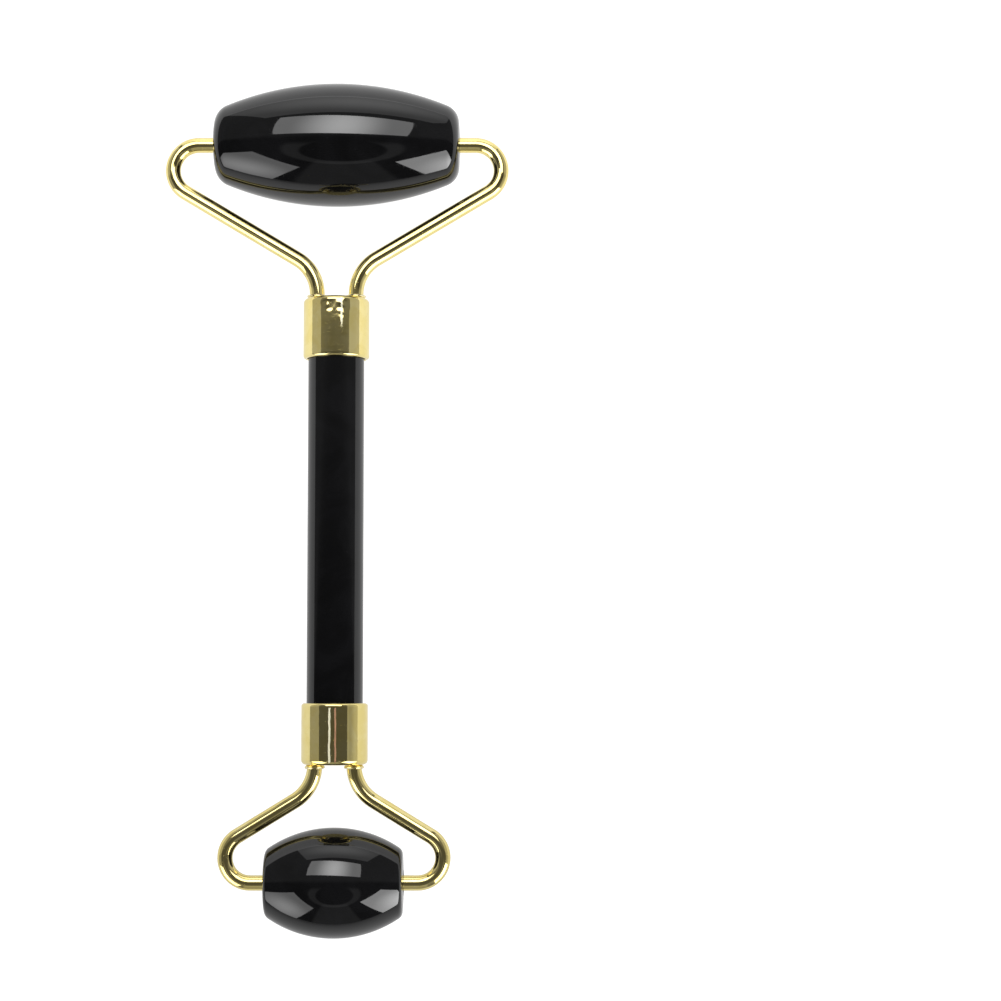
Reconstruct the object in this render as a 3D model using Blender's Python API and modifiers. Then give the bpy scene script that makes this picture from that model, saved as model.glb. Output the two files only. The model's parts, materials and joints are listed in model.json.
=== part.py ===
"""Double-ended face roller with polished black stones and gold-coloured metal, for Blender 4.5.

A stone rod is the handle. Each of its ends is glued into a metal ferrule, and two bent wire arms
come out of the ferrule's closed end as a yoke. The tips of the two arms are the stub axle of a
barrel-shaped stone, which turns on them in plastic sleeves glued into its end faces.

Metres, +Z up. The roller lies on its two barrels on the plane Z = 0. +Y runs along the handle
towards the large stone, +X is to the right, and the origin is below the middle of the whole.
"""

import math
from dataclasses import dataclass

import bmesh
import bpy
from mathutils import Matrix

COLLECTION = "face_roller"
CUTTER_COLLECTION = "face_roller_cutters"

AXLE_SPACING = 0.12505  # from one roller's axis to the other's, along the handle
ROUND_SIDES = 32  # a multiple of 4, so that a turned piece has a flat facet on each side
HOLE_SIDES = 24
WELD_DISTANCE = 1e-6

WIRE_RADIUS = 0.0013
WIRE_BEVEL_RESOLUTION = 4  # a ring of 12 sides
LEG_SPACING = 0.0066  # between the two wires' centrelines where they enter the ferrule
LOWER_BEND_RADIUS = 0.0070
BEND_STEP = math.radians(12.0)
ROOT_LENGTH = 0.0032  # wire held in the filler, past the ferrule's end wall

FERRULE_RADIUS = 0.0056
FERRULE_LENGTH = 0.0103
FERRULE_BORE = 0.0049
FERRULE_WALL = 0.0008  # thickness of the closed end
FERRULE_CORNER = 0.0008  # rounding round the closed end
RIM_BEVEL = 0.0005  # rounding round the open end
WIRE_HOLE_RADIUS = 0.00138

ROD_RADIUS = 0.00475
ROD_INSERTION = 0.0055  # rod inside each ferrule
ROD_BEVEL = 0.0003

FILLER_RADIUS = 0.00485
FILLER_GAP = 0.0001  # between the filler and what it touches, along the handle

BEAD_RADIUS = 0.00175
BEAD_HEIGHT = 0.0007
BEAD_GAP = 0.00005

SLEEVE_BORE = 0.0014  # 0.1 mm more than the wire, for a running fit
SLEEVE_RADIUS = 0.0020
SLEEVE_FLOOR = 0.0010  # thickness of the sleeve's closed end
SLEEVE_RECESS = 0.0002  # sleeve's mouth below the stone's end face
SLEEVE_GAP = 0.0001  # between the sleeve and the stone's socket
TIP_CLEARANCE = 0.0003  # between the wire's tip and the sleeve's closed end

ARC_STEPS = 6  # points along each half of a barrel's side
CORNER_STEPS = 5
FLAT_HALF_LENGTH = 0.0015  # the middle of a barrel's side is straight, as a foot to rest on
DOME_STEPS = 2  # points across a barrel's end
RIM_STEPS = 2
BEAD_STEPS = 4

SMOOTH_ANGLE = math.radians(35.0)  # edges flatter than this are shaded smooth
ROD_EDGE_ANGLE = math.radians(60.0)  # bevels the rod's end edges and not its facets
SIDES = ((-1, "left"), (1, "right"))


@dataclass(frozen=True)
class End:
    """One end of the roller: its barrel-shaped stone and the yoke that carries it."""

    name: str
    direction: int  # +1 where the ferrule faces +Y
    radius: float  # of the stone at its widest
    half_length: float
    side_arc: float  # radius of the stone's side along its length
    corner: float  # rounding between the side and the end
    end_dome: float  # radius of the shallow dome across the end
    yoke_half_width: float  # to the wire's centreline
    elbow: float  # bend radius of the wire beside the stone
    slope: float  # angle of the yoke's slanted wires from the roller's axis
    reach: float  # from the roller's axis to the ferrule's closed end
    pin_depth: float  # wire inside the stone


LARGE = End(
    name="large",
    direction=1,
    radius=0.01045,
    half_length=0.0211,
    side_arc=0.0500,
    corner=0.0033,
    end_dome=0.0400,
    yoke_half_width=0.0280,
    elbow=0.0044,
    slope=math.radians(30.9),
    reach=0.02655,
    pin_depth=0.0075,
)
SMALL = End(
    name="small",
    direction=-1,
    radius=0.0092,
    half_length=0.0117,
    side_arc=0.0197,
    corner=0.0014,
    end_dome=0.0800,
    yoke_half_width=0.01825,
    elbow=0.0042,
    slope=math.radians(31.4),
    reach=0.0197,
    pin_depth=0.0060,
)

# The handle leans by this much, because the two stones that it rests on differ in radius.
LEAN = math.asin((LARGE.radius - SMALL.radius) / AXLE_SPACING)
SPAN_Y = AXLE_SPACING * math.cos(LEAN)
LARGE_AXIS_Y = (SPAN_Y + SMALL.radius - LARGE.radius) / 2

MATERIALS = {
    "stone_black": ((0.012, 0.012, 0.014), 0.08, 0.0),
    "gold_plate": ((0.86, 0.72, 0.40), 0.12, 1.0),
    "gold_bead": ((0.84, 0.70, 0.40), 0.20, 1.0),
    "sleeve_nylon": ((0.05, 0.05, 0.055), 0.55, 0.0),
    "filler_epoxy": ((0.62, 0.56, 0.42), 0.35, 0.0),
}


def clear_scene():
    for obj in list(bpy.data.objects):
        bpy.data.objects.remove(obj, do_unlink=True)


def new_collection(name):
    collection = bpy.data.collections.new(name)
    bpy.context.scene.collection.children.link(collection)
    return collection


def make_material(name):
    color, roughness, metallic = MATERIALS[name]
    material = bpy.data.materials.new(name)
    material.use_nodes = True
    shader = material.node_tree.nodes["Principled BSDF"]
    shader.inputs["Base Color"].default_value = (*color, 1.0)
    shader.inputs["Roughness"].default_value = roughness
    shader.inputs["Metallic"].default_value = metallic
    return material


def add_object(name, data, collection, parent, matrix, material=None):
    """Links a new object whose matrix is given in its parent's space."""
    obj = bpy.data.objects.new(name, data)
    collection.objects.link(obj)
    obj.parent = parent
    obj.matrix_basis = matrix
    if material:
        data.materials.append(material)
    return obj


def shade(mesh):
    mesh.shade_smooth()
    mesh.set_sharp_from_angle(angle=SMOOTH_ANGLE)


def lathe(name, profile, closed, sides):
    """A mesh turned about Z from (radius, height) points that run down the outer side."""
    mesh = bpy.data.meshes.new(name + "_profile")
    count = len(profile)
    edges = [(i, i + 1) for i in range(count - 1)]
    if closed:
        edges.append((count - 1, 0))
    mesh.from_pydata([(radius, 0.0, height) for radius, height in profile], edges, [])
    source = bpy.data.objects.new(name + "_profile", mesh)
    bpy.context.scene.collection.objects.link(source)
    screw = source.modifiers.new("turn", "SCREW")
    screw.steps = screw.render_steps = sides
    screw.use_merge_vertices = True
    screw.merge_threshold = WELD_DISTANCE
    graph = bpy.context.evaluated_depsgraph_get()
    turned = bpy.data.meshes.new_from_object(source.evaluated_get(graph))
    turned.name = name
    bpy.data.objects.remove(source, do_unlink=True)
    bpy.data.meshes.remove(mesh)
    shade(turned)
    return turned


def arc(center, radius, start, stop, steps):
    """Points on an arc in the plane, from one angle to the other, both ends included."""
    angles = [start + (stop - start) * i / steps for i in range(steps + 1)]
    return [
        (center[0] + radius * math.cos(angle), center[1] + radius * math.sin(angle))
        for angle in angles
    ]


def corner_center(end):
    """(radius, height) of the middle of the rounding that touches both the side and the dome."""
    side_x = end.radius - end.side_arc
    dome_y = end.half_length - end.end_dome
    apart = math.hypot(side_x, dome_y)
    to_side = end.side_arc - end.corner
    to_dome = end.end_dome - end.corner
    along = (to_side**2 - to_dome**2 + apart**2) / (2 * apart)
    across = math.sqrt(to_side**2 - along**2)
    step_x = -side_x / apart
    step_y = dome_y / apart
    # Of the two places at both distances, this is the one with the larger radius and height.
    turn = 1.0 if step_y < 0.0 else -1.0
    x = side_x + along * step_x - turn * across * step_y
    y = along * step_y + turn * across * step_x
    return x, y


def barrel_half_profile(end):
    """(radius, height) points of the stone's upper half, from its socket's rim to the middle."""
    side_center = (end.radius - end.side_arc, 0.0)
    dome_center = (0.0, end.half_length - end.end_dome)
    x, y = corner_center(end)
    side_join = math.atan2(y, x - side_center[0])
    dome_join = math.atan2(y - dome_center[1], x)
    socket_rim = math.acos((SLEEVE_RADIUS + SLEEVE_GAP) / end.end_dome)
    # The side is straight over the flat, so the arc beyond it starts a little way out.
    first = math.asin(FLAT_HALF_LENGTH / end.side_arc)
    dome = arc(dome_center, end.end_dome, socket_rim, dome_join, DOME_STEPS)
    corner = arc((x, y), end.corner, dome_join, side_join, CORNER_STEPS)
    side = arc(side_center, end.side_arc, side_join, first, ARC_STEPS)
    side[-1] = (end.radius, FLAT_HALF_LENGTH)
    return dome + corner[1:] + side[1:]


def stone_mesh(end):
    """A barrel with a blind socket in each end, its facets' middles at the stone's true radius."""
    widen = 1.0 / math.cos(math.pi / ROUND_SIDES)
    socket = SLEEVE_RADIUS + SLEEVE_GAP
    floor = sleeve_floor(end) - SLEEVE_FLOOR - SLEEVE_GAP
    outer = [(radius * widen, height) for radius, height in barrel_half_profile(end)]
    half = [(0.0, floor), (socket * widen, floor)] + outer
    mirrored = [(radius, -height) for radius, height in reversed(half)]
    return lathe(end.name + "_stone", half + mirrored, False, ROUND_SIDES)


def sleeve_floor(end):
    """Distance from the stone's middle to the inner floor of a sleeve."""
    return end.half_length - end.pin_depth - TIP_CLEARANCE


def sleeve_mesh(end):
    """A plastic cup: its mouth is at the top and its closed end is at the bottom."""
    mouth = end.half_length - SLEEVE_RECESS
    floor = sleeve_floor(end)
    profile = [
        (0.0, floor),
        (SLEEVE_BORE, floor),
        (SLEEVE_BORE, mouth),
        (SLEEVE_RADIUS, mouth),
        (SLEEVE_RADIUS, floor - SLEEVE_FLOOR),
        (0.0, floor - SLEEVE_FLOOR),
    ]
    return lathe(end.name + "_sleeve", profile, False, ROUND_SIDES)


def ferrule_mesh(end):
    """A cup with its closed end at the top, at height 0, and its rounded mouth at the bottom."""
    corner = arc(
        (FERRULE_RADIUS - FERRULE_CORNER, -FERRULE_CORNER),
        FERRULE_CORNER,
        math.pi / 2,
        0.0,
        CORNER_STEPS,
    )
    rim = arc(
        (FERRULE_RADIUS - RIM_BEVEL, RIM_BEVEL - FERRULE_LENGTH),
        RIM_BEVEL,
        0.0,
        -math.pi / 2,
        RIM_STEPS,
    )
    bore = [
        (FERRULE_BORE, -FERRULE_LENGTH),
        (FERRULE_BORE, -FERRULE_WALL),
        (0.0, -FERRULE_WALL),
    ]
    return lathe(end.name + "_ferrule", [(0.0, 0.0)] + corner + rim + bore, False, ROUND_SIDES)


def bead_mesh(end):
    """A low domed ring that stands on the ferrule round one wire."""
    width = BEAD_RADIUS - WIRE_HOLE_RADIUS
    quarter = arc((0.0, 0.0), 1.0, math.pi / 2, 0.0, BEAD_STEPS)
    profile = [(WIRE_HOLE_RADIUS + width * out, BEAD_HEIGHT * up) for out, up in quarter]
    profile.append((WIRE_HOLE_RADIUS, 0.0))
    return lathe(end.name + "_bead", profile, True, HOLE_SIDES)


def cylinder_mesh(name, radius, bottom, top, sides):
    mesh = bpy.data.meshes.new(name)
    bm = bmesh.new()
    bmesh.ops.create_cone(
        bm,
        cap_ends=True,
        segments=sides,
        radius1=radius,
        radius2=radius,
        depth=top - bottom,
        matrix=Matrix.Translation((0.0, 0.0, (top + bottom) / 2)),
    )
    bm.to_mesh(mesh)
    bm.free()
    return mesh


def wire_points(end):
    """(across, down) centreline points of an arm, from its tip in the stone to its root."""
    half_leg = LEG_SPACING / 2
    stub_end = end.yoke_half_width - end.elbow
    past_widest = math.pi / 2 - end.slope
    elbow_center = (stub_end, end.elbow)
    elbow = arc(elbow_center, end.elbow, -math.pi / 2, 0.0, round(math.pi / 2 / BEND_STEP))
    elbow += arc(elbow_center, end.elbow, 0.0, past_widest, round(past_widest / BEND_STEP))[1:]
    bend_center_x = half_leg + LOWER_BEND_RADIUS
    bend_start_x = bend_center_x - LOWER_BEND_RADIUS * math.sin(end.slope)
    slant = (elbow[-1][0] - bend_start_x) / math.cos(end.slope)
    bend_start_y = elbow[-1][1] + slant * math.sin(end.slope)
    bend_center_y = bend_start_y + LOWER_BEND_RADIUS * math.cos(end.slope)
    bend = arc(
        (bend_center_x, bend_center_y),
        LOWER_BEND_RADIUS,
        math.pi + past_widest,
        math.pi,
        round(past_widest / BEND_STEP),
    )
    tip = (end.half_length - end.pin_depth, 0.0)
    root = (half_leg, end.reach + FERRULE_WALL + ROOT_LENGTH)
    return [tip] + elbow + bend + [root]


def wire_curve(end, side):
    curve = bpy.data.curves.new(end.name + "_arm", "CURVE")
    curve.dimensions = "3D"
    curve.bevel_depth = WIRE_RADIUS
    curve.bevel_resolution = WIRE_BEVEL_RESOLUTION
    curve.use_fill_caps = True
    points = wire_points(end)
    spline = curve.splines.new("POLY")
    spline.points.add(len(points) - 1)
    for point, (across, down) in zip(spline.points, points):
        point.co = (side * across, 0.0, -down, 1.0)
    spline.use_smooth = True
    return curve


def add_cutter(name, mesh, cutters, parent, matrix):
    cutter = add_object(name, mesh, cutters, parent, matrix)
    cutter.hide_render = True
    cutter.display_type = "WIRE"
    return cutter


def cut_wire_holes(obj, bottom, top, cutters, parent, place):
    """Drills the two holes that the wires pass through, along the handle."""
    for side, word in SIDES:
        name = f"{obj.name}_{word}_drill"
        drill = cylinder_mesh(name, WIRE_HOLE_RADIUS, bottom, top, HOLE_SIDES)
        leg = place @ Matrix.Translation((side * LEG_SPACING / 2, 0.0, 0.0))
        cutter = add_cutter(name, drill, cutters, parent, leg)
        hole = obj.modifiers.new("wire hole " + word, "BOOLEAN")
        hole.operation = "DIFFERENCE"
        hole.solver = "EXACT"
        hole.object = cutter


def add_roller(end, parts, materials):
    """The stone and its two sleeves, on an empty that sits on the axis they turn about."""
    center_y = LARGE_AXIS_Y if end is LARGE else LARGE_AXIS_Y - SPAN_Y
    axle = bpy.data.objects.new(end.name + "_roller_axis", None)
    parts.objects.link(axle)
    axle.location = (0.0, center_y, end.radius)
    # Local +Z goes to world +X, and half a facet more puts a flat facet at the very bottom.
    lay = Matrix.Rotation(math.pi / 2, 4, "Y") @ Matrix.Rotation(math.pi / ROUND_SIDES, 4, "Z")
    stone = materials["stone_black"]
    add_object(end.name + "_stone", stone_mesh(end), parts, axle, lay, stone)
    for side, word in SIDES:
        name = f"{end.name}_sleeve_{word}"
        matrix = Matrix.Rotation(side * math.pi / 2, 4, "Y")
        matrix = matrix @ Matrix.Rotation(math.pi / ROUND_SIDES, 4, "Z")
        add_object(name, sleeve_mesh(end), parts, axle, matrix, materials["sleeve_nylon"])


def add_yoke(end, parts, cutters, handle, materials):
    """Ferrule, filler, wire arms and beads of one end, placed in the handle's own space."""
    gold = materials["gold_plate"]
    # Local +Z points out of the handle at this end, and 0 is on the roller's axis.
    out = Matrix.Rotation(-end.direction * math.pi / 2, 4, "X")
    axis = 0.0 if end is LARGE else -AXLE_SPACING
    yoke = Matrix.Translation((0.0, axis, 0.0)) @ out
    face = yoke @ Matrix.Translation((0.0, 0.0, -end.reach))
    half_facet = Matrix.Rotation(math.pi / ROUND_SIDES, 4, "Z")
    ferrule = add_object(
        end.name + "_ferrule", ferrule_mesh(end), parts, handle, face @ half_facet, gold
    )
    cut_wire_holes(ferrule, -2 * FERRULE_WALL, FERRULE_WALL, cutters, handle, face)
    top = -FERRULE_WALL - FILLER_GAP
    bottom = ROD_INSERTION + FILLER_GAP - FERRULE_LENGTH
    plug = cylinder_mesh(end.name + "_epoxy", FILLER_RADIUS, bottom, top, ROUND_SIDES)
    epoxy = add_object(
        end.name + "_epoxy", plug, parts, handle, face, materials["filler_epoxy"]
    )
    past = ROOT_LENGTH + FILLER_GAP + FERRULE_WALL
    cut_wire_holes(epoxy, -past, FERRULE_WALL, cutters, handle, face)
    for side, word in SIDES:
        arm = wire_curve(end, side)
        add_object(f"{end.name}_arm_{word}", arm, parts, handle, yoke, gold)
        stand = Matrix.Translation((side * LEG_SPACING / 2, 0.0, BEAD_GAP))
        bead = bead_mesh(end)
        name = f"{end.name}_solder_{word}"
        add_object(name, bead, parts, handle, face @ stand, materials["gold_bead"])


def add_rod(parts, handle, materials):
    top = -(LARGE.reach + FERRULE_LENGTH - ROD_INSERTION)
    bottom = -(AXLE_SPACING - SMALL.reach - FERRULE_LENGTH + ROD_INSERTION)
    mesh = cylinder_mesh("handle_stone", ROD_RADIUS, bottom, top, ROUND_SIDES)
    shade(mesh)
    along = Matrix.Rotation(-math.pi / 2, 4, "X") @ Matrix.Rotation(math.pi / ROUND_SIDES, 4, "Z")
    rod = add_object("handle_stone", mesh, parts, handle, along, materials["stone_black"])
    bevel = rod.modifiers.new("ends", "BEVEL")
    bevel.width = ROD_BEVEL
    bevel.segments = 2
    bevel.limit_method = "ANGLE"
    bevel.angle_limit = ROD_EDGE_ANGLE


def build():
    clear_scene()
    parts = new_collection(COLLECTION)
    cutters = new_collection(CUTTER_COLLECTION)
    materials = {name: make_material(name) for name in MATERIALS}
    handle = bpy.data.objects.new("handle_frame", None)
    parts.objects.link(handle)
    handle.location = (0.0, LARGE_AXIS_Y, LARGE.radius)
    handle.rotation_euler = (LEAN, 0.0, 0.0)
    for end in (LARGE, SMALL):
        add_roller(end, parts, materials)
        add_yoke(end, parts, cutters, handle, materials)
    add_rod(parts, handle, materials)


build()
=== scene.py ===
"""Looks of a double-ended face roller with polished black stones and gold-coloured metal.

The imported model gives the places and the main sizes. Each of its visible solids gets a finer
piece in its stead, turned or swept from the same dimensions, and every surface gets a
procedural material. Metres, +Z up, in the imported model's frame.
"""

import json
import math
from dataclasses import dataclass, replace

import bpy
from mathutils import Matrix, Vector, noise

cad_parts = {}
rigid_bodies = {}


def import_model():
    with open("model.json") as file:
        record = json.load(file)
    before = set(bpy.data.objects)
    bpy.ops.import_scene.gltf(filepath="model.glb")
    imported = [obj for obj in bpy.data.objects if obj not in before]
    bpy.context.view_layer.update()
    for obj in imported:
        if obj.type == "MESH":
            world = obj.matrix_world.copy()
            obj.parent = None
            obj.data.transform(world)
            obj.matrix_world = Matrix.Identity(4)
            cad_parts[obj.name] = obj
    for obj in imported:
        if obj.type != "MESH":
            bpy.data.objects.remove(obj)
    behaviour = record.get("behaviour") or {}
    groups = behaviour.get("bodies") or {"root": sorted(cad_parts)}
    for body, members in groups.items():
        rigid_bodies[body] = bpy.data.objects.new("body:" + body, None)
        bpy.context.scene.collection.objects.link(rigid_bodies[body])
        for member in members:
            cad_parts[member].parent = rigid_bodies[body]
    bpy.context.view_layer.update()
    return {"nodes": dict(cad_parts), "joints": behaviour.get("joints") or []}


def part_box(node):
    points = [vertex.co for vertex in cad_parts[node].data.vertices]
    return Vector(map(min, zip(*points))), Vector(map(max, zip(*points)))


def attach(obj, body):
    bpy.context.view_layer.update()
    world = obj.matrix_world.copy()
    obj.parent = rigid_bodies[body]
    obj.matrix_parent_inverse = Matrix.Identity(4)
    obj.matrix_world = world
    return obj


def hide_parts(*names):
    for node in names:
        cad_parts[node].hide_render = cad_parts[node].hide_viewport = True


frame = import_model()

MM = 0.001
MICRON = 0.000001
SIDES = ((-1, "left"), (1, "right"))

# Fineness of the meshes
TURN_SIDES = 160
WIRE_BEVEL_RESOLUTION = 10
HOLE_SIDES = 64
BEND_STEP = math.radians(3.0)
SMOOTH_ANGLE = math.radians(32.0)
WELD_DISTANCE = 1e-7

# A flat round face has one more ring, at this share of its radius, to keep its shading flat.
FERRULE_RING = 0.97
SOCKET_RING = 0.9
ROD_RING = 0.5

# The metalwork's sizes, the same at both ends
WIRE_RADIUS = 0.0013
LEG_SPACING = 0.0066
LOWER_BEND_RADIUS = 0.0070
ROOT_LENGTH = 0.0032
FERRULE_RADIUS = 0.0056
FERRULE_LENGTH = 0.0103
FERRULE_BORE = 0.0049
FERRULE_WALL = 0.0008
FERRULE_CORNER = 0.0008
RIM_ROUNDING = 0.0005
RIM_INNER_ROUNDING = 0.0002
WIRE_HOLE_RADIUS = 0.00138
BEAD_RADIUS = 0.00175
BEAD_HEIGHT = 0.0007
BEAD_GAP = 0.00005
BEAD_SWELL = 0.6  # below 1, the bead is widest above its middle

ROD_RADIUS = 0.00475
ROD_INSERTION = 0.0055
ROD_ROUNDING = 0.0003

SLEEVE_BORE = 0.0014
SLEEVE_FLOOR = 0.0010
SLEEVE_LIP = 0.00015  # rounding of the sleeve's mouth
TIP_CLEARANCE = 0.0003  # between the wire's tip and the sleeve's closed end
SOCKET_GAP = 0.0001
SOCKET_ROUNDING = 0.00015

# Hand polishing leaves the stone this far from a true turned shape.
POLISH_DEPTH = 6 * MICRON
POLISH_WAVELENGTH = 0.0065
ROD_SEED = 5.0

# The metal isn't quite true either: slow waves in the ferrules and wires, knocks, uneven beads.
FERRULE_WAVE = 1.5 * MICRON
FERRULE_WAVELENGTH = 0.0040
KNOCK_WAVELENGTH = 0.0009
WIRE_WAVE = 0.006  # share of the wire's radius
WIRE_WAVELENGTH = 0.0025
BEAD_UNEVENNESS = 0.08  # share of the bead's own width and height
BEAD_WAVES = 1.6  # how fast it varies round the bead


@dataclass(frozen=True)
class Knock:
    """A dented patch on a ferrule's upper side."""

    across: float  # from the ferrule's top line, towards +X
    below: float  # from the closed end
    reach: float
    depth: float


@dataclass(frozen=True)
class End:
    """One end of the roller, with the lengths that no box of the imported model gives."""

    name: str
    direction: int  # +1 where the roller is at the +Y end
    side_arc: float
    corner: float
    end_dome: float
    elbow: float
    slope: float
    reach: float  # from the roller's axis to the ferrule's closed end
    knock: Knock
    upward: int  # +1 where the turned ferrule's own +Y points up once it is placed

    @property
    def axis(self):
        spin = self.name + "_stone_spin"
        return Vector(next(j["pos_m"] for j in frame["joints"] if j["name"] == spin))

    @property
    def roller(self):
        return self.name + "_roller"

    @property
    def radius(self):
        low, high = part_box(self.name + "_stone")
        return (high.z - low.z) / 2

    @property
    def half_length(self):
        low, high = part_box(self.name + "_stone")
        return (high.x - low.x) / 2

    @property
    def yoke_half_width(self):
        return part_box(self.name + "_arm_right")[1].x - WIRE_RADIUS

    @property
    def wire_tip(self):
        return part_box(self.name + "_sleeve_right")[0].x + SLEEVE_FLOOR + TIP_CLEARANCE


LARGE = End(
    name="large",
    direction=1,
    side_arc=0.0500,
    corner=0.0033,
    end_dome=0.0400,
    elbow=0.0044,
    slope=math.radians(30.9),
    reach=0.02655,
    knock=Knock(across=0.0002, below=0.0006, reach=0.0042, depth=56 * MICRON),
    upward=-1,
)
SMALL = End(
    name="small",
    direction=-1,
    side_arc=0.0197,
    corner=0.0014,
    end_dome=0.0800,
    elbow=0.0042,
    slope=math.radians(31.4),
    reach=0.0197,
    knock=Knock(across=-0.0012, below=0.0080, reach=0.0030, depth=8 * MICRON),
    upward=1,
)
ENDS = (LARGE, SMALL)

HANDLE_DIRECTION = (LARGE.axis - SMALL.axis).normalized()
AXLE_SPACING = (LARGE.axis - SMALL.axis).length


# ---------------------------------------------------------------- shapes


def arc(center, radius, start, stop, steps):
    """Points on an arc in the plane, from one angle to the other, both ends included."""
    angles = [start + (stop - start) * i / steps for i in range(steps + 1)]
    return [
        (center[0] + radius * math.cos(angle), center[1] + radius * math.sin(angle))
        for angle in angles
    ]


def straight(start, stop, steps):
    """Points between two others, without the first."""
    return [
        tuple(a + (b - a) * i / steps for a, b in zip(start, stop)) for i in range(1, steps + 1)
    ]


def evaluated_mesh(obj, name):
    """The object's mesh with its modifiers applied. The object itself is removed."""
    graph = bpy.context.evaluated_depsgraph_get()
    mesh = bpy.data.meshes.new_from_object(obj.evaluated_get(graph))
    mesh.name = name
    bpy.data.objects.remove(obj, do_unlink=True)
    return mesh


def scratch_object(name, data):
    obj = bpy.data.objects.new(name, data)
    bpy.context.scene.collection.objects.link(obj)
    return obj


def shade(mesh):
    mesh.shade_smooth()
    mesh.set_sharp_from_angle(angle=SMOOTH_ANGLE)


def turned(name, profile, sides=TURN_SIDES, closed=False):
    """A mesh turned about Z from (radius, height) points that run down the outer side."""
    count = len(profile)
    edges = [(i, i + 1) for i in range(count - 1)]
    if closed:
        edges.append((count - 1, 0))
    outline = bpy.data.meshes.new(name + "_outline")
    outline.from_pydata([(radius, 0.0, height) for radius, height in profile], edges, [])
    source = scratch_object(name + "_outline", outline)
    screw = source.modifiers.new("turn", "SCREW")
    screw.steps = screw.render_steps = sides
    screw.use_merge_vertices = True
    screw.merge_threshold = WELD_DISTANCE
    mesh = evaluated_mesh(source, name)
    bpy.data.meshes.remove(outline)
    shade(mesh)
    return mesh


def corner_center(end):
    """(radius, height) of the middle of the rounding that touches both the side and the dome."""
    side_x = end.radius - end.side_arc
    dome_y = end.half_length - end.end_dome
    apart = math.hypot(side_x, dome_y)
    to_side = end.side_arc - end.corner
    to_dome = end.end_dome - end.corner
    along = (to_side**2 - to_dome**2 + apart**2) / (2 * apart)
    across = math.sqrt(to_side**2 - along**2)
    step_x = -side_x / apart
    step_y = dome_y / apart
    turn = 1.0 if step_y < 0.0 else -1.0
    x = side_x + along * step_x - turn * across * step_y
    y = along * step_y + turn * across * step_x
    return x, y


def socket_radius(end):
    low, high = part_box(end.name + "_sleeve_right")
    return (high.z - low.z) / 2 + SOCKET_GAP


def barrel_half_profile(end):
    """(radius, height) points from the middle of a socket's floor to the middle of the side."""
    side_center = (end.radius - end.side_arc, 0.0)
    dome_center = (0.0, end.half_length - end.end_dome)
    x, y = corner_center(end)
    side_join = math.atan2(y, x - side_center[0])
    dome_join = math.atan2(y - dome_center[1], x)
    socket = socket_radius(end)
    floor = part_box(end.name + "_sleeve_right")[0].x - SOCKET_GAP
    rim = math.acos((socket + SOCKET_ROUNDING) / end.end_dome)
    rim_height = dome_center[1] + end.end_dome * math.sin(rim)
    rounding_center = (socket + SOCKET_ROUNDING, rim_height - SOCKET_ROUNDING)
    points = [(0.0, floor), (socket * SOCKET_RING, floor), (socket, floor)]
    points += straight(points[-1], (socket, rounding_center[1]), steps=6)
    points += arc(rounding_center, SOCKET_ROUNDING, math.pi, math.pi / 2, steps=5)[1:]
    points += arc(dome_center, end.end_dome, rim, dome_join, steps=16)[1:]
    points += arc((x, y), end.corner, dome_join, side_join, steps=18)[1:]
    points += arc(side_center, end.side_arc, side_join, 0.0, steps=48)[1:]
    return points


def polish(mesh, seed):
    """Sinks the outer surface by a few micrometres here and there, as hand polishing does."""
    start = Vector((seed, 2.0 * seed, 3.0 * seed))
    for vertex in mesh.vertices:
        wave = noise.noise(vertex.co / POLISH_WAVELENGTH + start)
        outward = Vector((vertex.co.x, vertex.co.y, 0.0)).normalized()
        vertex.co -= outward * POLISH_DEPTH * (1.0 + wave)


def stone_mesh(end, seed):
    half = barrel_half_profile(end)
    mirrored = [(radius, -height) for radius, height in reversed(half[:-1])]
    mesh = turned(end.name + "_barrel", half + mirrored)
    polish(mesh, seed)
    return mesh


def rod_mesh():
    """A cylinder along Z, from the inner end of one ferrule's bore to that of the other."""
    top = -(LARGE.reach + FERRULE_LENGTH - ROD_INSERTION)
    bottom = -(AXLE_SPACING - SMALL.reach - FERRULE_LENGTH + ROD_INSERTION)
    inner = ROD_RADIUS - ROD_ROUNDING
    upper = arc((inner, top - ROD_ROUNDING), ROD_ROUNDING, math.pi / 2, 0.0, steps=6)
    lower = arc((inner, bottom + ROD_ROUNDING), ROD_ROUNDING, 0.0, -math.pi / 2, steps=6)
    side = straight(upper[-1], lower[0], steps=90)
    profile = [(0.0, top), (inner * ROD_RING, top)] + upper + side + lower[1:]
    profile += [(inner * ROD_RING, bottom), (0.0, bottom)]
    mesh = turned("grip_rod", profile)
    polish(mesh, ROD_SEED)
    return mesh


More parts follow.
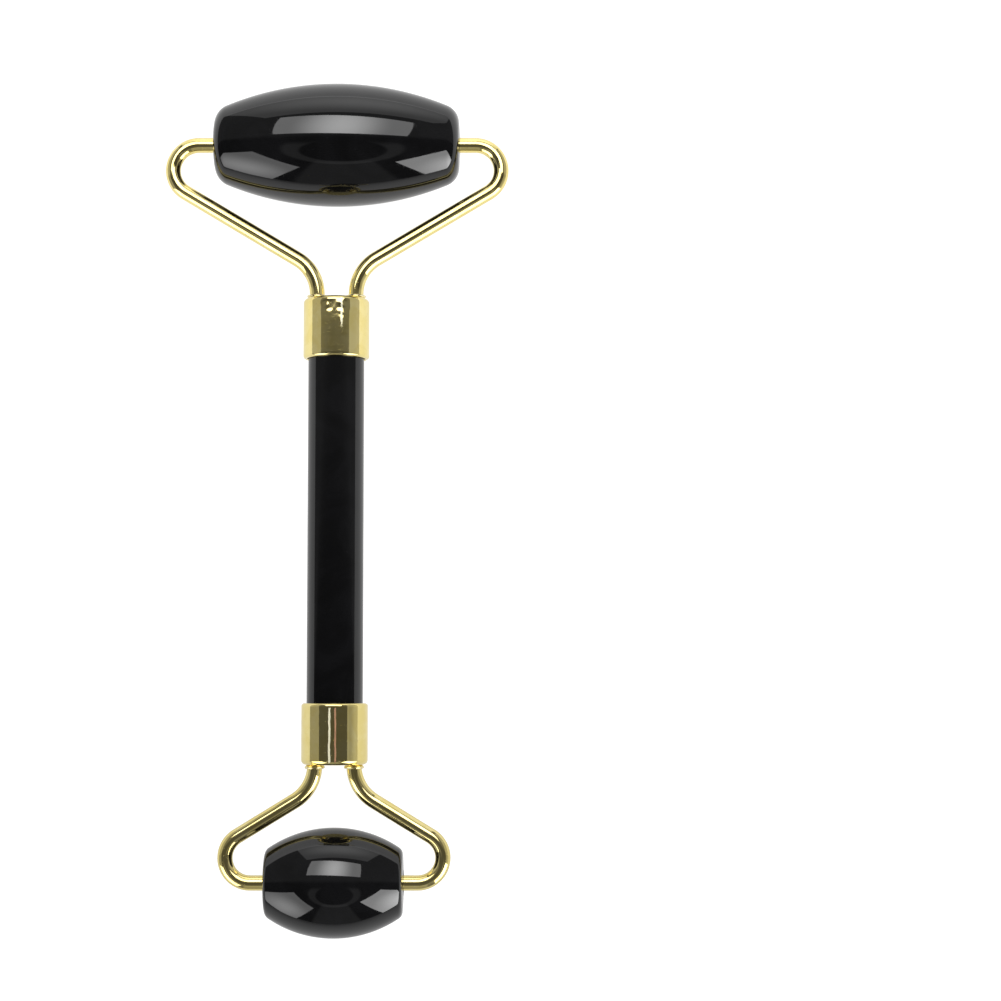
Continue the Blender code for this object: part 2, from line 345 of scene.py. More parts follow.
def ferrule_mesh(end):
    """A cup with its closed end at the top, at height 0, and its rounded mouth at the bottom."""
    corner_x = FERRULE_RADIUS - FERRULE_CORNER
    mouth = -FERRULE_LENGTH
    outer_rim = (FERRULE_RADIUS - RIM_ROUNDING, mouth + RIM_ROUNDING)
    inner_rim = (FERRULE_BORE + RIM_INNER_ROUNDING, mouth + RIM_INNER_ROUNDING)
    profile = [(0.0, 0.0), (corner_x * FERRULE_RING, 0.0)]
    profile += arc((corner_x, -FERRULE_CORNER), FERRULE_CORNER, math.pi / 2, 0.0, steps=14)
    profile += straight(profile[-1], (FERRULE_RADIUS, outer_rim[1]), steps=56)
    profile += arc(outer_rim, RIM_ROUNDING, 0.0, -math.pi / 2, steps=10)[1:]
    profile += arc(inner_rim, RIM_INNER_ROUNDING, -math.pi / 2, -math.pi, steps=6)
    profile += [(FERRULE_BORE, -FERRULE_WALL), (FERRULE_BORE * FERRULE_RING, -FERRULE_WALL)]
    profile += [(0.0, -FERRULE_WALL)]
    mesh = turned(end.name + "_cap_blank", profile)
    dent(mesh, end)
    return drilled(mesh, end.name + "_cap")


def dent(mesh, end):
    """Sinks the cup's side by a few micrometres in slow waves, and further in one knocked patch."""
    knock = end.knock
    patch = Vector((knock.across, end.upward * FERRULE_RADIUS, -knock.below))
    for vertex in mesh.vertices:
        outward = Vector((vertex.co.x, vertex.co.y, 0.0))
        near_side = max(0.0, 1.0 - (FERRULE_RADIUS - outward.length) / FERRULE_CORNER)
        away = (vertex.co - patch).length / knock.reach
        knocked = max(0.0, 1.0 - away * away) ** 2
        wave = 1.0 + noise.noise(vertex.co / FERRULE_WAVELENGTH)
        ripple = 1.0 + noise.noise(vertex.co / KNOCK_WAVELENGTH)
        sunk = FERRULE_WAVE * wave + knock.depth * knocked * ripple
        vertex.co -= outward.normalized() * sunk * near_side**2


def drill_mesh(name, x):
    """A pin to cut one wire hole with, through the closed end of a ferrule."""
    half = 2 * FERRULE_WALL
    profile = [(0.0, half), (WIRE_HOLE_RADIUS, half), (WIRE_HOLE_RADIUS, -half), (0.0, -half)]
    mesh = turned(name, profile, HOLE_SIDES)
    mesh.transform(Matrix.Translation((x, 0.0, 0.0)))
    return mesh


def drilled(blank, name):
    """The blank with its two wire holes cut. The blank itself is removed."""
    body = scratch_object(name, blank)
    drills = []
    for side, word in SIDES:
        drill = scratch_object("drill_" + word, drill_mesh("drill_" + word, side * LEG_SPACING / 2))
        cut = body.modifiers.new("wire hole " + word, "BOOLEAN")
        cut.operation = "DIFFERENCE"
        cut.solver = "EXACT"
        cut.object = drill
        drills.append(drill)
    mesh = evaluated_mesh(body, name)
    for drill in drills:
        used = drill.data
        bpy.data.objects.remove(drill, do_unlink=True)
        bpy.data.meshes.remove(used)
    bpy.data.meshes.remove(blank)
    shade(mesh)
    return mesh


def bead_mesh(name, seed):
    """A bulging ring of solder round a wire, a little different all the way round."""
    width = BEAD_RADIUS - WIRE_HOLE_RADIUS
    bulge = arc((0.0, 0.0), 1.0, math.pi / 2, -math.pi / 2, steps=20)
    shares = [(out, max(0.0, (1.0 + up) / 2) ** BEAD_SWELL) for out, up in bulge]
    profile = [(WIRE_HOLE_RADIUS + width * out, BEAD_HEIGHT * up) for out, up in shares]
    mesh = turned(name, profile, HOLE_SIDES, closed=True)
    for vertex in mesh.vertices:
        around = Vector((vertex.co.x, vertex.co.y, 0.0)).normalized()
        wave = noise.noise(around * BEAD_WAVES + Vector((seed, 0.0, 0.0)))
        share = (vertex.co.xy.length - WIRE_HOLE_RADIUS) / width
        vertex.co += around * width * share * BEAD_UNEVENNESS * (wave - 1.0)
        vertex.co.z *= 1.0 + BEAD_UNEVENNESS * (wave - 1.0)
    return mesh


def sleeve_mesh(end, word):
    """A plastic cup on the axle, its mouth towards +Z and its closed end in the stone."""
    low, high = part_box(end.name + "_sleeve_right")
    outer = (high.z - low.z) / 2
    mouth = high.x
    floor = low.x
    lip = mouth - SLEEVE_LIP
    lip_in = arc((SLEEVE_BORE + SLEEVE_LIP, lip), SLEEVE_LIP, math.pi, math.pi / 2, steps=6)
    lip_out = arc((outer - SLEEVE_LIP, lip), SLEEVE_LIP, math.pi / 2, 0.0, steps=6)
    profile = [(0.0, floor + SLEEVE_FLOOR), (SLEEVE_BORE, floor + SLEEVE_FLOOR)]
    profile += lip_in + lip_out
    profile += [(outer, floor), (0.0, floor)]
    return turned(f"{end.name}_bush_{word}", profile, HOLE_SIDES)


def wire_points(end):
    """(across, down) centreline points of an arm, from its tip in the stone to its root."""
    half_leg = LEG_SPACING / 2
    stub_end = end.yoke_half_width - end.elbow
    past_widest = math.pi / 2 - end.slope
    elbow_turn = math.pi / 2 + past_widest
    elbow_steps = round(elbow_turn / BEND_STEP)
    elbow = arc((stub_end, end.elbow), end.elbow, -math.pi / 2, past_widest, elbow_steps)
    bend_center_x = half_leg + LOWER_BEND_RADIUS
    bend_start_x = bend_center_x - LOWER_BEND_RADIUS * math.sin(end.slope)
    slant = (elbow[-1][0] - bend_start_x) / math.cos(end.slope)
    bend_start_y = elbow[-1][1] + slant * math.sin(end.slope)
    bend_center = (bend_center_x, bend_start_y + LOWER_BEND_RADIUS * math.cos(end.slope))
    bend_steps = round(past_widest / BEND_STEP)
    bend = arc(bend_center, LOWER_BEND_RADIUS, math.pi + past_widest, math.pi, bend_steps)
    tip = (end.wire_tip, 0.0)
    root = (half_leg, end.reach + FERRULE_WALL + ROOT_LENGTH)
    stub = [tip] + straight(tip, elbow[0], steps=12)[:-1]
    slanted = straight(elbow[-1], bend[0], steps=14)[:-1]
    leg = straight(bend[-1], root, steps=10)
    return stub + elbow + slanted + bend + leg


def wire_mesh(end, side, word):
    """The swept round wire of one arm, its ends closed."""
    name = f"{end.name}_wire_{word}"
    curve = bpy.data.curves.new(name, "CURVE")
    curve.dimensions = "3D"
    curve.bevel_depth = WIRE_RADIUS
    curve.bevel_resolution = WIRE_BEVEL_RESOLUTION
    curve.use_fill_caps = True
    points = wire_points(end)
    spline = curve.splines.new("POLY")
    spline.points.add(len(points) - 1)
    for point, (across, down) in zip(spline.points, points):
        place = Vector((side * across, down, 0.0))
        point.co = (*place, 1.0)
        point.radius = 1.0 - WIRE_WAVE * (1.0 + noise.noise(place / WIRE_WAVELENGTH))
    spline.use_smooth = True
    source = scratch_object(name + "_line", curve)
    weld = source.modifiers.new("close the ends", "WELD")
    weld.merge_threshold = WELD_DISTANCE
    mesh = evaluated_mesh(source, name)
    bpy.data.curves.remove(curve)
    shade(mesh)
    return mesh


# ---------------------------------------------------------------- placing


def yoke_matrix(end):
    """The yoke's own space: X across, Y from the roller's axis down the handle, flat in Z."""
    across = Vector((1.0, 0.0, 0.0))
    down = -end.direction * HANDLE_DIRECTION
    normal = across.cross(down)
    matrix = Matrix((across, down, normal)).transposed().to_4x4()
    return Matrix.Translation(end.axis) @ matrix


def face_matrix(end):
    """On the ferrule's closed end, with +Z out of the handle towards the roller."""
    out = Matrix.Rotation(math.pi / 2, 4, "X")
    return yoke_matrix(end) @ Matrix.Translation((0.0, end.reach, 0.0)) @ out


def roller_matrix(end, side=1):
    """On the roller's axis, with +Z along it towards one side."""
    return Matrix.Translation(end.axis) @ Matrix.Rotation(side * math.pi / 2, 4, "Y")


def add_piece(mesh, matrix, material, body, node):
    """Places a finer piece, in the stead of one CAD node, and lets it ride on that node's body."""
    piece = bpy.data.objects.new(mesh.name, mesh)
    bpy.context.scene.collection.objects.link(piece)
    piece.matrix_world = matrix
    mesh.materials.clear()
    mesh.materials.append(material)
    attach(piece, body)
    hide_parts(node)


# ---------------------------------------------------------------- shader nodes


def add_node(tree, kind, values=None, **settings):
    """Adds a shader node. A value that is another node's output is linked, any other is set."""
    made = tree.nodes.new(kind)
    for name, value in settings.items():
        setattr(made, name, value)
    for key, value in (values or {}).items():
        if isinstance(value, bpy.types.NodeSocket):
            tree.links.new(value, made.inputs[key])
        else:
            made.inputs[key].default_value = value
    return made


def millimetres(tree, stretch=(1.0, 1.0, 1.0), shift=(0.0, 0.0, 0.0)):
    """The piece's own coordinates in millimetres, squeezed along the axes by stretch."""
    place = add_node(tree, "ShaderNodeTexCoord").outputs["Object"]
    scale = tuple(s / MM for s in stretch)
    mapping = add_node(tree, "ShaderNodeMapping", {"Vector": place, "Location": shift, "Scale": scale})
    return mapping.outputs["Vector"]


def noise_at(tree, place, per_mm, detail=3.0, roughness=0.5, distortion=0.0):
    """A noise value whose features are 1 / per_mm millimetres across."""
    values = {
        "Vector": place,
        "Scale": per_mm,
        "Detail": detail,
        "Roughness": roughness,
        "Distortion": distortion,
    }
    return add_node(tree, "ShaderNodeTexNoise", values).outputs[0]


def between(tree, value, low, high, to_low=0.0, to_high=1.0):
    """The value mapped smoothly from one range to another, and held at the new range's ends."""
    values = {
        "Value": value,
        "From Min": low,
        "From Max": high,
        "To Min": to_low,
        "To Max": to_high,
    }
    kind = "ShaderNodeMapRange"
    return add_node(tree, kind, values, interpolation_type="SMOOTHSTEP").outputs["Result"]


def math_node(tree, operation, first, second=0.0):
    return add_node(tree, "ShaderNodeMath", {0: first, 1: second}, operation=operation).outputs[0]


def times(tree, first, second):
    return math_node(tree, "MULTIPLY", first, second)


def plus(tree, first, second):
    return math_node(tree, "ADD", first, second)


def mixed_color(tree, share, low, high):
    """From one color to the other, either of which may be another node's output."""
    low = low if isinstance(low, bpy.types.NodeSocket) else (*low, 1.0)
    high = high if isinstance(high, bpy.types.NodeSocket) else (*high, 1.0)
    mix = add_node(tree, "ShaderNodeMix", {0: share}, data_type="RGBA")
    for socket, value in ((mix.inputs[6], low), (mix.inputs[7], high)):
        if isinstance(value, bpy.types.NodeSocket):
            tree.links.new(value, socket)
        else:
            socket.default_value = value
    return mix.outputs[2]


def mixed_value(tree, share, low, high):
    """From one value to the other."""
    values = {0: share, 2: low, 3: high}
    return add_node(tree, "ShaderNodeMix", values, data_type="FLOAT").outputs[0]


def bumped(tree, height, depth, below=None):
    """A bump of this depth in metres, on top of another one."""
    values = {"Height": height, "Strength": 1.0, "Distance": depth}
    if below is not None:
        values["Normal"] = below
    return add_node(tree, "ShaderNodeBump", values).outputs["Normal"]


def dot(tree, place, direction):
    values = {0: place, 1: direction}
    return add_node(tree, "ShaderNodeVectorMath", values, operation="DOT_PRODUCT").outputs["Value"]


def away_from(tree, place, center, reach):
    """How far a point of a plane is from a center, counted in its reaches along X and Y."""
    scale = (1.0 / reach[0], 1.0 / reach[1], 0.0)
    shift = (-center[0] * scale[0], -center[1] * scale[1], 0.0)
    values = {"Vector": place, "Location": shift, "Scale": scale}
    centered = add_node(tree, "ShaderNodeMapping", values).outputs[0]
    return add_node(tree, "ShaderNodeVectorMath", {0: centered}, operation="LENGTH").outputs["Value"]


# ---------------------------------------------------------------- materials

STONE_TONES = ((0.0022, 0.0022, 0.0024), (0.0042, 0.0042, 0.0047))
STONE_FLECK = (0.012, 0.012, 0.013)
HAIRLINES_ALONG = (6.0, 0.25, 6.0)  # fine polishing lines, along the piece's own Y

GOLD_TONES = ((0.875, 0.730, 0.280), (0.910, 0.780, 0.350))
GOLD_WORN = (0.560, 0.380, 0.200)
# A scuffed line's colour, near white and paler than any gold: partly a painted highlight.
SCUFF_AND_HIGHLIGHT = (1.000, 0.960, 0.740)
BRAZING = (0.760, 0.410, 0.240)
DRAWN_ALONG = (5.0, 5.0, 0.15)  # drawing lines, along a turned piece's axis
DRAWN_WIRE = (1.2, 1.2, 2.0)
SEAM_TOP = (-0.60, -0.30)  # heights in millimetres between which a ferrule's seam fades out
SEAM_BOTTOM = (-9.7, -9.4)  # and between which it fades in, where it runs the whole length
SEAM_SWAY = 0.3  # share of its half width by which a seam wanders

SOLDER_TONES = ((0.84, 0.71, 0.36), (0.93, 0.85, 0.56))
NYLON_TONES = ((0.030, 0.030, 0.033), (0.060, 0.060, 0.066))
EPOXY_TONES = ((0.52, 0.43, 0.26), (0.70, 0.64, 0.48))


def new_material(name, values):
    """A material with a Principled shader. Returns the material, its node tree and the shader."""
    material = bpy.data.materials.new(name)
    material.use_nodes = True
    shader = material.node_tree.nodes["Principled BSDF"]
    for key, value in values.items():
        shader.inputs[key].default_value = value
    return material, material.node_tree, shader


def connect(tree, shader, color, roughness, normal):
    """Gives the shader its color, its roughness and its bumps."""
    tree.links.new(color, shader.inputs["Base Color"])
    tree.links.new(roughness, shader.inputs["Roughness"])
    tree.links.new(normal, shader.inputs["Normal"])


def stone_material(name, shift):
    """Polished black stone: faint clouds and flecks under a glassy, slightly smudged surface."""
    material, tree, shader = new_material(name, {"IOR": 1.5})
    place = millimetres(tree, shift=shift)
    clouds = noise_at(tree, place, 0.11, detail=5.0, roughness=0.62, distortion=1.2)
    base = mixed_color(tree, between(tree, clouds, 0.35, 0.70), *STONE_TONES)
    flecks = noise_at(tree, place, 1.7, detail=2.0, roughness=0.7)
    base = mixed_color(tree, between(tree, flecks, 0.70, 0.80, 0.0, 0.6), base, STONE_FLECK)
    smudges = noise_at(tree, place, 0.20, detail=4.0, roughness=0.65, distortion=0.6)
    roughness = between(tree, smudges, 0.45, 0.75, 0.028, 0.075)
    grain = noise_at(tree, place, 3.0)
    hairlines = noise_at(tree, millimetres(tree, HAIRLINES_ALONG, shift), 1.0, detail=2.0)
    normal = bumped(tree, grain, 0.3 * MICRON)
    normal = bumped(tree, between(tree, hairlines, 0.66, 0.74), 0.4 * MICRON, normal)
    connect(tree, shader, base, roughness, normal)
    return material


@dataclass(frozen=True)
class Seam:
    """A dull line along the handle on a ferrule's side, in a colour of its own; a near-white line's
    colour is partly a painted highlight. Lengths are in millimetres.
    """

    normal: tuple  # towards the line, across the ferrule's axis
    half_width: float
    color: tuple
    dullness: float  # what it adds to the roughness
    bottom: tuple  # heights between which it fades in


def seam(end, degrees, half_width, color, dullness, bottom=SEAM_BOTTOM):
    """A line at this angle from the ferrule's top, positive towards +X."""
    angle = math.radians(degrees)
    normal = (math.sin(angle), end.upward * math.cos(angle), 0.0)
    return Seam(normal, half_width, color, dullness, bottom)


def seam_share(tree, line):
    """1 on the line and 0 off it, with an edge that wanders a little."""
    place = millimetres(tree)
    normal = Vector(line.normal)
    tangent = normal.cross(Vector((0.0, 0.0, 1.0)))
    sway = SEAM_SWAY * line.half_width
    wander = between(tree, noise_at(tree, place, 0.5, roughness=0.6), 0.3, 0.7, -sway, sway)
    off = math_node(tree, "ABSOLUTE", plus(tree, dot(tree, place, tangent), wander))
    near = between(tree, off, 0.5 * line.half_width, 1.2 * line.half_width, 1.0, 0.0)
    same_side = between(tree, dot(tree, place, normal), 0.0, 1.0)
    height = add_node(tree, "ShaderNodeSeparateXYZ", {0: place}).outputs["Z"]
    above_bottom = times(tree, near, between(tree, height, *line.bottom))
    below_end = between(tree, height, *SEAM_TOP, 1.0, 0.0)
    return times(tree, times(tree, above_bottom, below_end), same_side)


def gold_material(name, shift, drawn, worn_from, unevenness, seams=()):
    """Bright gold-coloured plating: a warm tone that varies, drawing lines, pits and worn spots."""
    material, tree, shader = new_material(name, {"Metallic": 1.0})
    place = millimetres(tree, shift=shift)
    tone = noise_at(tree, place, 0.35, roughness=0.55, distortion=0.5)
    base = mixed_color(tree, between(tree, tone, 0.35, 0.65), *GOLD_TONES)
    wear = noise_at(tree, place, 1.3, detail=4.0, roughness=0.7, distortion=0.8)
    worn = between(tree, wear, worn_from, worn_from + 0.07)
    base = mixed_color(tree, times(tree, worn, 0.7), base, GOLD_WORN)
    haze = noise_at(tree, place, 0.8, detail=4.0, roughness=0.6)
    roughness = between(tree, haze, 0.35, 0.70, 0.04, 0.09)
    roughness = plus(tree, roughness, times(tree, worn, 0.16))
    # Each seam mixes in its colour; a near-white seam is a rough line with a painted highlight.
    for line in seams:
        share = seam_share(tree, line)
        base = mixed_color(tree, share, base, line.color)
        roughness = plus(tree, roughness, times(tree, share, line.dullness))
    lines = noise_at(tree, millimetres(tree, drawn, shift), 1.0, roughness=0.6)
    dents = noise_at(tree, place, 0.7, detail=1.0)
    pits = noise_at(tree, place, 4.5, detail=1.0)
    normal = bumped(tree, lines, 0.4 * MICRON)
    normal = bumped(tree, dents, unevenness, normal)
    normal = bumped(tree, between(tree, pits, 0.74, 0.80, 1.0, 0.0), 6 * MICRON, normal)
    connect(tree, shader, base, roughness, normal)
    return material


def solder_material():
    """Solder under the same plating: duller, lumpier and a little paler than the wire."""
    material, tree, shader = new_material("plated_solder", {"Metallic": 1.0})
    place = millimetres(tree)
    tone = noise_at(tree, place, 1.2)
    base = mixed_color(tree, between(tree, tone, 0.35, 0.65), *SOLDER_TONES)
    lumps = noise_at(tree, place, 2.2, roughness=0.6)
    roughness = between(tree, lumps, 0.3, 0.7, 0.08, 0.24)
    connect(tree, shader, base, roughness, bumped(tree, lumps, 22 * MICRON))
    return material


def nylon_material():
    """Dark moulded nylon with a fine eggshell surface."""
    material, tree, shader = new_material("dark_nylon", {"IOR": 1.53})
    place = millimetres(tree)
    tone = noise_at(tree, place, 1.5)
    base = mixed_color(tree, between(tree, tone, 0.3, 0.7), *NYLON_TONES)
    grain = noise_at(tree, place, 14.0, detail=2.0)
    roughness = between(tree, tone, 0.3, 0.7, 0.42, 0.60)
    connect(tree, shader, base, roughness, bumped(tree, grain, 8 * MICRON))
    return material


def epoxy_material():
    """Honey-coloured set epoxy with small bubbles."""
    values = {
        "IOR": 1.55,
        "Subsurface Weight": 0.25,
        "Subsurface Radius": (0.9, 0.6, 0.3),
        "Subsurface Scale": MM,
    }
    material, tree, shader = new_material("set_epoxy", values)
    place = millimetres(tree)
    tone = noise_at(tree, place, 0.5)
    base = mixed_color(tree, between(tree, tone, 0.3, 0.7), *EPOXY_TONES)
    bubbles = add_node(tree, "ShaderNodeTexVoronoi", {"Vector": place, "Scale": 1.6}).outputs[0]
    roughness = between(tree, tone, 0.3, 0.7, 0.16, 0.34)
    normal = bumped(tree, between(tree, bubbles, 0.10, 0.22), 50 * MICRON)
    connect(tree, shader, base, roughness, normal)
    return material


# ---------------------------------------------------------------- the object


def all_looks():
    """The object's materials, by the names that the next functions use."""
    # The near-white seams are scuffed lines that carry a painted highlight.
    large_seams = [seam(LARGE, 12.5, 0.17, SCUFF_AND_HIGHLIGHT, 0.27, bottom=(-6.0, -4.2))]
    small_seams = [
        seam(SMALL, -5.3, 0.20, SCUFF_AND_HIGHLIGHT, 0.62),
        seam(SMALL, 5.0, 0.17, BRAZING, 0.42),
    ]
    return {
        "large_stone": stone_material("large_black_stone", (3.0, 11.0, 5.0)),
        "small_stone": stone_material("small_black_stone", (41.0, 7.0, 23.0)),
        "rod": stone_material("rod_black_stone", (17.0, 29.0, 2.0)),
        "large_ferrule": gold_material(
            "large_ferrule_gold",
            shift=(2.0, 5.0, 9.0),
            drawn=DRAWN_ALONG,
            worn_from=0.66,
            unevenness=8 * MICRON,
            seams=large_seams,
        ),
        "small_ferrule": gold_material(
            "small_ferrule_gold",
            shift=(31.0, 8.0, 3.0),
            drawn=DRAWN_ALONG,
            worn_from=0.66,
            unevenness=5 * MICRON,
            seams=small_seams,
        ),
        "wire": gold_material(
            "wire_gold",
            shift=(7.0, 1.0, 4.0),
            drawn=DRAWN_WIRE,
            worn_from=0.72,
            unevenness=3 * MICRON,
        ),
        "solder": solder_material(),
        "nylon": nylon_material(),
        "epoxy": epoxy_material(),
    }


def build_roller(end, looks, seed):
    """The stone and its two sleeves, which turn together."""
    stone = end.name + "_stone"
    add_piece(stone_mesh(end, seed), roller_matrix(end), looks[stone], end.roller, stone)
    for side, word in SIDES:
        add_piece(
            sleeve_mesh(end, word),
            roller_matrix(end, side),
            looks["nylon"],
            end.roller,
            f"{end.name}_sleeve_{word}",
        )


def build_yoke(end, looks):
    """The ferrule, its two wire arms, the beads of solder round them and the epoxy inside."""
    face = face_matrix(end)
    ferrule = end.name + "_ferrule"
    add_piece(ferrule_mesh(end), face, looks[ferrule], "handle", ferrule)
    for side, word in SIDES:
        add_piece(
            wire_mesh(end, side, word),
            yoke_matrix(end),
            looks["wire"],
            "handle",
            f"{end.name}_arm_{word}",
        )
        stand = Matrix.Translation((side * LEG_SPACING / 2, 0.0, BEAD_GAP))
        seed = side + 3.0 * end.direction
        add_piece(
            bead_mesh(f"{end.name}_bead_{word}", seed),
            face @ stand,
            looks["solder"],
            "handle",
            f"{end.name}_solder_{word}",
        )
    epoxy = frame["nodes"][end.name + "_epoxy"]
    epoxy.data.materials.clear()
    epoxy.data.materials.append(looks["epoxy"])


def build_object():
    looks = all_looks()
    for seed, end in enumerate(ENDS, 1):
        build_roller(end, looks, float(seed))
        build_yoke(end, looks)
    # The rod's own +Z points towards the large stone, and its height 0 is on that stone's axis.
    rod_matrix = yoke_matrix(LARGE) @ Matrix.Rotation(math.pi / 2, 4, "X")
    add_piece(rod_mesh(), rod_matrix, looks["rod"], "handle", "handle_stone")


# ---------------------------------------------------------------- studio

FLOOR_SIZE = 8.0
FLOOR_TONES = ((0.24, 0.24, 0.24), (0.26, 0.26, 0.26))
# The floor's glow is painted light: brighter towards the back wall, as if lit from there.
FLOOR_FADE = (-300.0, 150.0)  # millimetres along the handle's direction
FLOOR_GLOW = (0.10, 0.80)
FLOOR_GLOW_SEEN = 0.95

CAMERA_PLACE = (0.02789, -0.03458, 0.43177)
CAMERA_TILT = math.radians(4.822)  # from straight down, towards +Y
CAMERA_LENS = 90.0
CAMERA_SENSOR = 36.0

# Directions in the room are given by where they meet a ceiling one unit high.
LOWEST_RISE = 0.02  # lower directions count as this steep
CEILING_RADIANCES = (0.045, 0.18)  # in front of the camera, and behind it
CEILING_FADE = (0.02, 0.22)
RING_RADIANCE = 0.20
RING_CENTER = (0.0, -0.48)
RING_SIZE = (0.42, 0.52)
RING_INSIDE = (0.80, 0.90)  # shares of its size
RING_OUTSIDE = (1.12, 1.30)
RING_OPENING = (-0.25, -0.05)
SCREEN_RADIANCE = 0.15
SCREEN_HALF_WIDTH = 0.30  # over its distance
SCREEN_TOP = 1.1  # over its distance, too
SCREEN_EDGE = (0.9, 1.1)  # shares of its size


@dataclass(frozen=True)
class Softbox:
    """A flat lamp. Its glow is hottest at one spot, given as shares of its width and height."""

    name: str
    center: tuple
    normal: tuple  # out of its lit side
    up: tuple
    width: float
    height: float
    edge_radiance: float
    spot_radiance: float
    spot: tuple
    spot_reach: tuple  # shares of the width and height over which the glow fades


SOFTBOXES = (
    Softbox(
        name="strip",
        center=(0.015, 0.407, 0.660),
        normal=(0.08, -0.28, -0.96),
        up=(0.067, 0.957, -0.274),
        width=0.752,
        height=0.468,
        edge_radiance=2.8,
        spot_radiance=8.3,
        spot=(0.48, 0.40),
        spot_reach=(0.38, 1.80),
    ),
    Softbox(
        name="left_box",
        center=(-0.550, -0.603, 0.380),
        normal=(0.882, 0.471, 0.0),
        up=(0.066, -0.123, 0.990),
        width=0.668,
        height=0.730,
        edge_radiance=2.0,
        spot_radiance=4.4,
        spot=(0.55, 0.33),
        spot_reach=(0.70, 0.55),
    ),
    Softbox(
        name="right_box",
        center=(0.398, -0.339, 0.250),
        normal=(-0.731, 0.682, 0.0),
        up=(0.0, 0.0, 1.0),
        width=0.366,
        height=0.490,
        edge_radiance=4.8,
        spot_radiance=10.6,
        spot=(0.62, 0.10),
        spot_reach=(0.75, 0.75),
    ),
    Softbox(
        name="back_board",
        center=(0.030, 0.573, 0.210),
        normal=(0.0, -1.0, 0.0),
        up=(0.0, 0.0, 1.0),
        width=0.770,
        height=0.420,
        edge_radiance=0.6,
        spot_radiance=1.5,
        spot=(0.50, 0.35),
        spot_reach=(0.60, 0.60),
    ),
)

# The gold sees dimmer softboxes, and pale walls of its own.
GOLD_RADIANCE = 2.8
GOLD_WORDS = ("_cap", "_wire", "_bead")
GOLD_WALLS = (
    Softbox(
        name="left_wall",
        center=(-1.200, 0.150, 0.480),
        normal=(1.0, 0.0, 0.0),
        up=(0.0, 0.0, 1.0),
        width=2.700,
        height=0.960,
        edge_radiance=0.28,
        spot_radiance=0.28,
        spot=(0.50, 0.50),
        spot_reach=(1.00, 1.00),
    ),
    Softbox(
        name="right_wall",
        center=(1.200, 0.150, 0.540),
        normal=(-1.0, 0.0, 0.0),
        up=(0.0, 0.0, 1.0),
        width=2.700,
        height=1.080,
        edge_radiance=0.28,
        spot_radiance=0.55,
        spot=(0.33, 0.10),
        spot_reach=(0.25, 0.60),
    ),
    Softbox(
        name="front_panel",
        center=(0.0, -0.590, 0.550),
        normal=(0.0, 0.670, -0.743),
        up=(0.0, 0.743, 0.670),
        width=2.700,
        height=1.640,
        edge_radiance=0.04,
        spot_radiance=0.14,
        spot=(0.50, 0.35),
        spot_reach=(1.20, 0.45),
    ),
)


def receivers(name, pieces, state):
    """A list for a lamp: it lights only these pieces (INCLUDE) or all but these (EXCLUDE)."""
    chosen = bpy.data.collections.new(name)
    for piece in pieces:
        chosen.objects.link(piece)
    for entry in chosen.collection_objects:
        entry.light_linking.link_state = state
    return chosen


def add_softbox(box, lit):
    """An area light, hidden from the camera, that shows its glow in reflections."""
    light = bpy.data.lights.new(box.name, "AREA")
    light.shape = "RECTANGLE"
    light.size = box.width
    light.size_y = box.height
    # At this power an emission strength of 1 is a radiance of 1.
    light.energy = math.pi * box.width * box.height
    light.use_nodes = True
    tree = light.node_tree
    emission = next(n for n in tree.nodes if n.type == "EMISSION")
    place = add_node(tree, "ShaderNodeNewGeometry").outputs["Parametric"]
    away = away_from(tree, place, box.spot, box.spot_reach)
    glow = between(tree, away, 0.0, 1.0, box.spot_radiance, box.edge_radiance)
    tree.links.new(glow, emission.inputs["Strength"])
    back = -Vector(box.normal).normalized()
    up = Vector(box.up).normalized()
    right = up.cross(back)
    obj = bpy.data.objects.new(box.name, light)
    bpy.context.scene.collection.objects.link(obj)
    turn = Matrix((right, up, back)).transposed().to_4x4()
    obj.matrix_world = Matrix.Translation(box.center) @ turn
    obj.visible_camera = False
    obj.light_linking.receiver_collection = lit


def dimmed(box):
    """The softbox as the gold sees it."""
    return replace(
        box,
        name=box.name + "_for_gold",
        edge_radiance=min(box.edge_radiance, GOLD_RADIANCE),
        spot_radiance=min(box.spot_radiance, GOLD_RADIANCE),
    )


def add_lamps():
    gold = [piece for piece in bpy.data.objects if any(word in piece.name for word in GOLD_WORDS)]
    all_but_gold = receivers("all_but_gold", gold, "EXCLUDE")
    only_gold = receivers("only_gold", gold, "INCLUDE")
    for box in SOFTBOXES:
        add_softbox(box, all_but_gold)
        add_softbox(dimmed(box), only_gold)
    for wall in GOLD_WALLS:
        add_softbox(wall, only_gold)


def ratio(tree, value, base):
    """The value over the base, where a base that is small or below 0 counts as the lowest rise."""
    return math_node(tree, "DIVIDE", value, math_node(tree, "MAXIMUM", base, LOWEST_RISE))


def ring_share(tree, x, y, z):
    """1 on a pale open ring in the ceiling, in front of the camera, 0 elsewhere."""
    place = add_node(tree, "ShaderNodeCombineXYZ", {0: ratio(tree, x, z), 1: ratio(tree, y, z)})
    away = away_from(tree, place.outputs[0], RING_CENTER, RING_SIZE)
    outside = between(tree, away, *RING_INSIDE)
    inside = between(tree, away, *RING_OUTSIDE, 1.0, 0.0)
    in_front = between(tree, ratio(tree, y, z), *RING_OPENING, 1.0, 0.0)
    return times(tree, times(tree, outside, inside), in_front)


def screen_share(tree, x, y, z):
    """1 towards a pale screen in front of the table, 0 elsewhere."""
    ahead = times(tree, y, -1.0)
    aside = math_node(tree, "ABSOLUTE", ratio(tree, x, ahead))
    sides = [SCREEN_HALF_WIDTH * share for share in SCREEN_EDGE]
    tops = [SCREEN_TOP * share for share in SCREEN_EDGE]
    within = between(tree, aside, *sides, 1.0, 0.0)
    below_top = between(tree, ratio(tree, z, ahead), *tops, 1.0, 0.0)
    return times(tree, within, below_top)


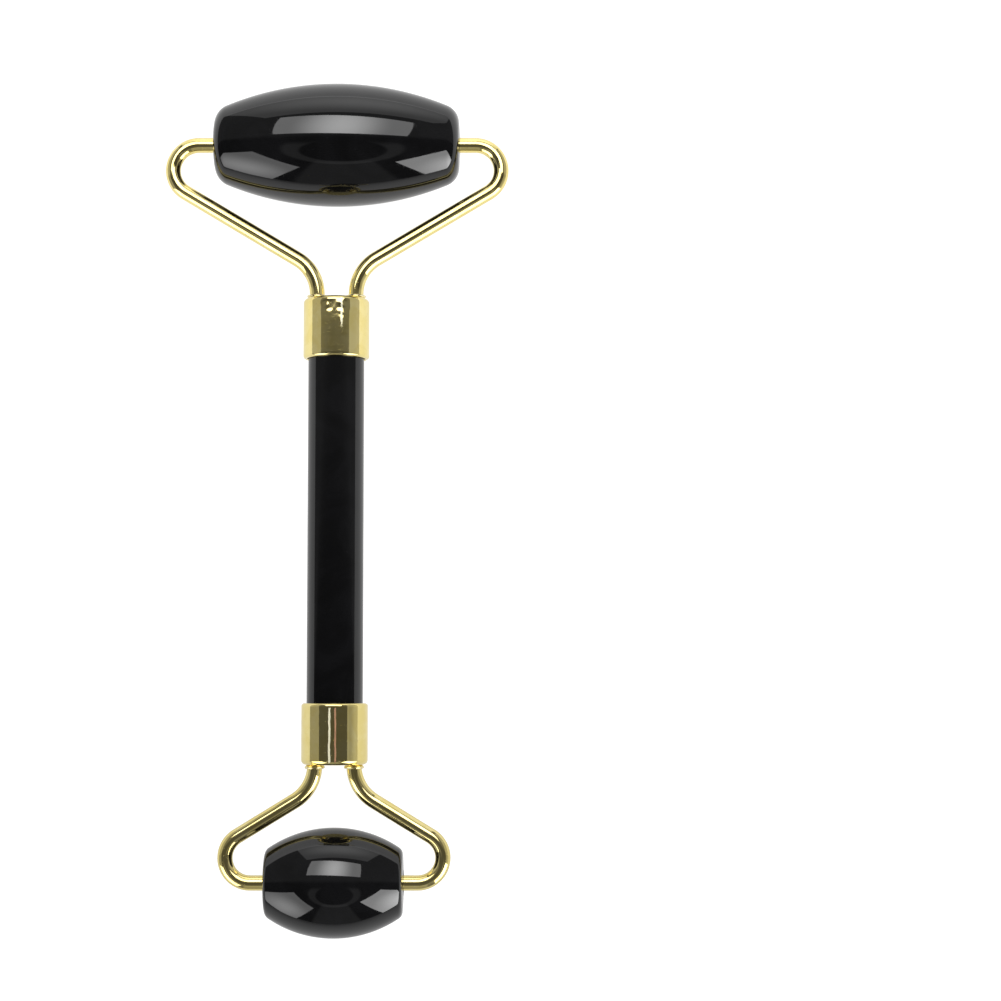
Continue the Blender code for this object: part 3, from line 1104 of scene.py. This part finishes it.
def add_world():
    """A dark room with a few pale surfaces in it, and plain white for the camera itself."""
    world = bpy.data.worlds.new("studio")
    world.use_nodes = True
    bpy.context.scene.world = world
    tree = world.node_tree
    background = tree.nodes["Background"]
    direction = add_node(tree, "ShaderNodeTexCoord").outputs["Generated"]
    x, y, z = add_node(tree, "ShaderNodeSeparateXYZ", {0: direction}).outputs
    parts = (
        (ring_share(tree, x, y, z), RING_RADIANCE),
        (screen_share(tree, x, y, z), SCREEN_RADIANCE),
    )
    room = between(tree, ratio(tree, y, z), *CEILING_FADE, *CEILING_RADIANCES)
    for share, radiance in parts:
        room = plus(tree, times(tree, share, radiance), room)
    seen = add_node(tree, "ShaderNodeLightPath").outputs["Is Camera Ray"]
    tree.links.new(mixed_value(tree, seen, room, 1.0), background.inputs["Strength"])
    background.inputs["Color"].default_value = (1.0, 1.0, 1.0, 1.0)


def floor_material():
    """A pale sheet with a painted glow, brighter towards the back wall, in the stead of light falling
    on it. The camera sees it glow evenly, nearly white.
    """
    values = {
        "Roughness": 0.9,
        "Specular IOR Level": 0.0,
        "Emission Color": (1.0, 1.0, 1.0, 1.0),
    }
    material, tree, shader = new_material("pale_floor", values)
    place = millimetres(tree)
    tone = noise_at(tree, place, 0.02)
    base = mixed_color(tree, between(tree, tone, 0.3, 0.7), *FLOOR_TONES)
    along = add_node(tree, "ShaderNodeSeparateXYZ", {0: place}).outputs["Y"]
    # Painted light: the glow grows towards the back wall.
    glow = between(tree, along, *FLOOR_FADE, *FLOOR_GLOW)
    seen = add_node(tree, "ShaderNodeLightPath").outputs["Is Camera Ray"]
    glow = mixed_value(tree, seen, glow, FLOOR_GLOW_SEEN)
    tree.links.new(base, shader.inputs["Base Color"])
    tree.links.new(glow, shader.inputs["Emission Strength"])
    return material


def add_floor():
    bpy.ops.mesh.primitive_plane_add(size=FLOOR_SIZE)
    floor = bpy.context.object
    floor.name = "floor"
    floor.data.materials.append(floor_material())


def add_camera():
    camera = bpy.data.cameras.new("camera")
    camera.lens = CAMERA_LENS
    camera.sensor_width = CAMERA_SENSOR
    camera.clip_start = 0.01
    camera.clip_end = 20.0
    obj = bpy.data.objects.new("camera", camera)
    obj.location = CAMERA_PLACE
    obj.rotation_euler = (CAMERA_TILT, 0.0, 0.0)
    bpy.context.scene.collection.objects.link(obj)
    bpy.context.scene.camera = obj


def build_studio():
    bpy.context.scene.view_settings.view_transform = "Standard"
    add_camera()
    add_world()
    add_floor()
    add_lamps()


build_object()
build_studio()
